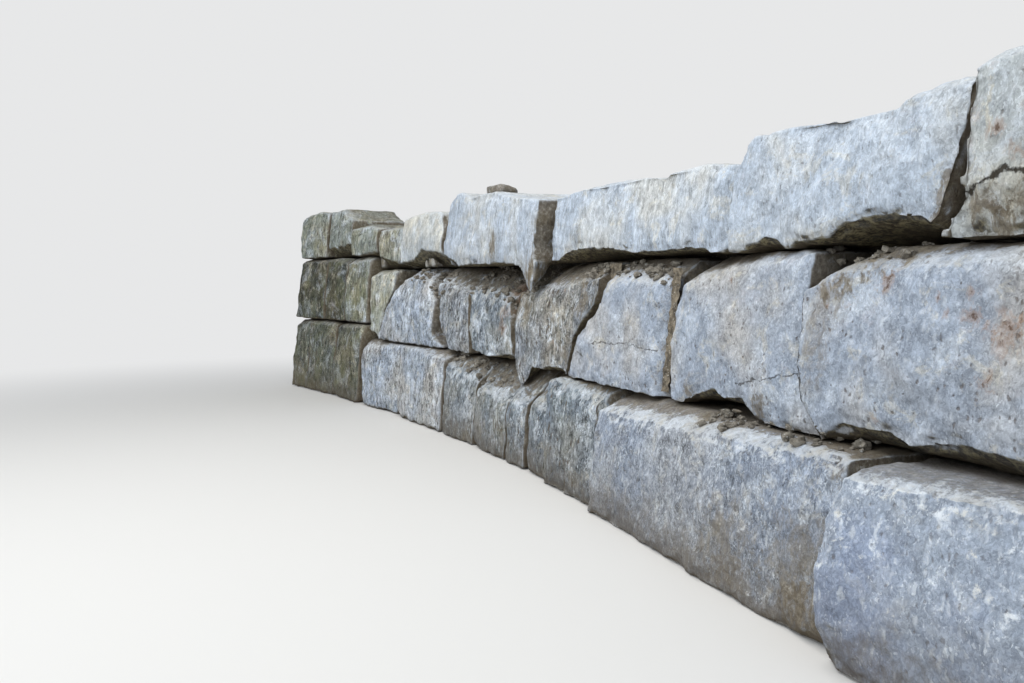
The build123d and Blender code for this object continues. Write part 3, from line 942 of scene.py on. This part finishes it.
def fillSeam(seam):
    path = [Vector(point) for point in seam["path"]]
    spans = [(end - start).length for start, end in zip(path, path[1:])]
    rows = round(sum(spans) / seamLook["grid"])
    columns = round(seam["width"] / seamLook["grid"])
    bpy.ops.mesh.primitive_grid_add(size=1, x_subdivisions=columns, y_subdivisions=rows)
    fill = bpy.context.object
    fill.name = "seam_earth"
    for vertex in fill.data.vertices:
        reach = (0.5 + vertex.co.y) * sum(spans)
        for start, end, span in zip(path, path[1:], spans):
            if reach <= span or end == path[-1]:
                break
            reach -= span
        point = start.lerp(end, min(reach / span, 1.0))
        vertex.co = onWall(point.x - vertex.co.x * seam["width"], seam["behind"], point.y)
    lumps = fill.modifiers.new("lumps", "DISPLACE")
    lumps.texture = reliefs["grain"]
    lumps.texture_coords = "LOCAL"
    lumps.strength = seamLook["lumps"]
    bpy.ops.object.modifier_apply(modifier="lumps")
    bpy.ops.object.shade_smooth()
    fill.data.materials.append(earthPaint("seamEarth", earthTones["seams"]))
    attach(fill, "root")


# crumbs of earth and small chips that lie on the ledges of the joints
crumbLook = {
    "sizes": (0.003, 0.014),
    "kinds": 6,
    "sink": 0.4,
    "lumps": {"depth": 0.8, "scale": 1.9, "apart": 9.0},
    "flattened": (1.0, 0.8, 0.6),
    "farthestFall": 0.15,
}
ledges = (
    {"stations": (1.23, 1.62), "height": 0.600, "behind": (0.005, 0.060), "count": 70},
    {"stations": (0.60, 0.80), "height": 0.588, "behind": (0.005, 0.080), "count": 30},
    {"stations": (1.90, 2.42), "height": 0.583, "behind": (0.000, 0.110), "count": 150},
    {"stations": (2.62, 3.15), "height": 0.590, "behind": (0.000, 0.070), "count": 70},
    {"stations": (0.62, 1.00), "height": 0.300, "behind": (-0.03, 0.060), "count": 60},
    {"stations": (2.05, 2.60), "height": 0.284, "behind": (-0.01, 0.080), "count": 80},
)


def makeCrumb(look, number):
    bpy.ops.mesh.primitive_ico_sphere_add(subdivisions=2, radius=1)
    crumb = bpy.context.object
    crumb.name = "crumb_" + str(number)
    lumps = look["lumps"]
    start = Vector((lumps["apart"] * number, 0, 0))
    for vertex in crumb.data.vertices:
        swell = 1 + lumps["depth"] * noise.noise(vertex.co * lumps["scale"] + start)
        vertex.co = [co * swell * share for co, share in zip(vertex.co, look["flattened"])]
    return crumb


def scatterCrumbs(look, stones):
    kinds = [makeCrumb(look, number) for number in range(look["kinds"])]
    surfaces = [BVHTree.FromPolygons([vertex.co for vertex in stone.data.vertices],
                                     [face.vertices for face in stone.data.polygons]) for stone in stones]
    down = Vector((0, 0, -1))
    crumbs = []
    for ledge in ledges:
        for _ in range(ledge["count"]):
            station = random.uniform(*ledge["stations"])
            start = onWall(station, random.uniform(*ledge["behind"]), ledge["height"])
            landings = [surface.ray_cast(start, down, look["farthestFall"])[0] for surface in surfaces]
            landings = [landing for landing in landings if landing]
            if not landings:
                continue
            landing = max(landings, key=lambda point: point.z)
            kind = random.choice(kinds)
            size = random.uniform(0, 1) ** 2 * (look["sizes"][1] - look["sizes"][0]) + look["sizes"][0]
            turn = Matrix.Rotation(random.uniform(0, 2 * math.pi), 4, "Z")
            lift = Vector((0, 0, size * look["sink"]))
            mesh = kind.data.copy()
            mesh.transform(Matrix.Translation(landing + lift) @ turn @ Matrix.Scale(size, 4))
            crumb = bpy.data.objects.new("crumb", mesh)
            bpy.context.collection.objects.link(crumb)
            crumbs.append(crumb)
    bpy.ops.object.select_all(action="DESELECT")
    for kind in kinds:
        kind.select_set(True)
    bpy.ops.object.delete()
    for crumb in crumbs:
        crumb.select_set(True)
    bpy.context.view_layer.objects.active = crumbs[0]
    bpy.ops.object.join()
    heap = bpy.context.object
    heap.name = "earth_crumbs"
    heap.data.materials.append(earthPaint("earthCrumbs", earthTones["crumbs"]))
    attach(heap, "root")
    return len(crumbs)


packEarthAndShade(earthShadeSheet)
for seam in seamFills:
    fillSeam(seam)
ledgeStones = [stone for name, stone in dressed.items() if "middle" in name or "base" in name]
crumbCount = scatterCrumbs(crumbLook, ledgeStones)
print("stage 3: earth is packed in the joints, with", crumbCount, "crumbs on the ledges")
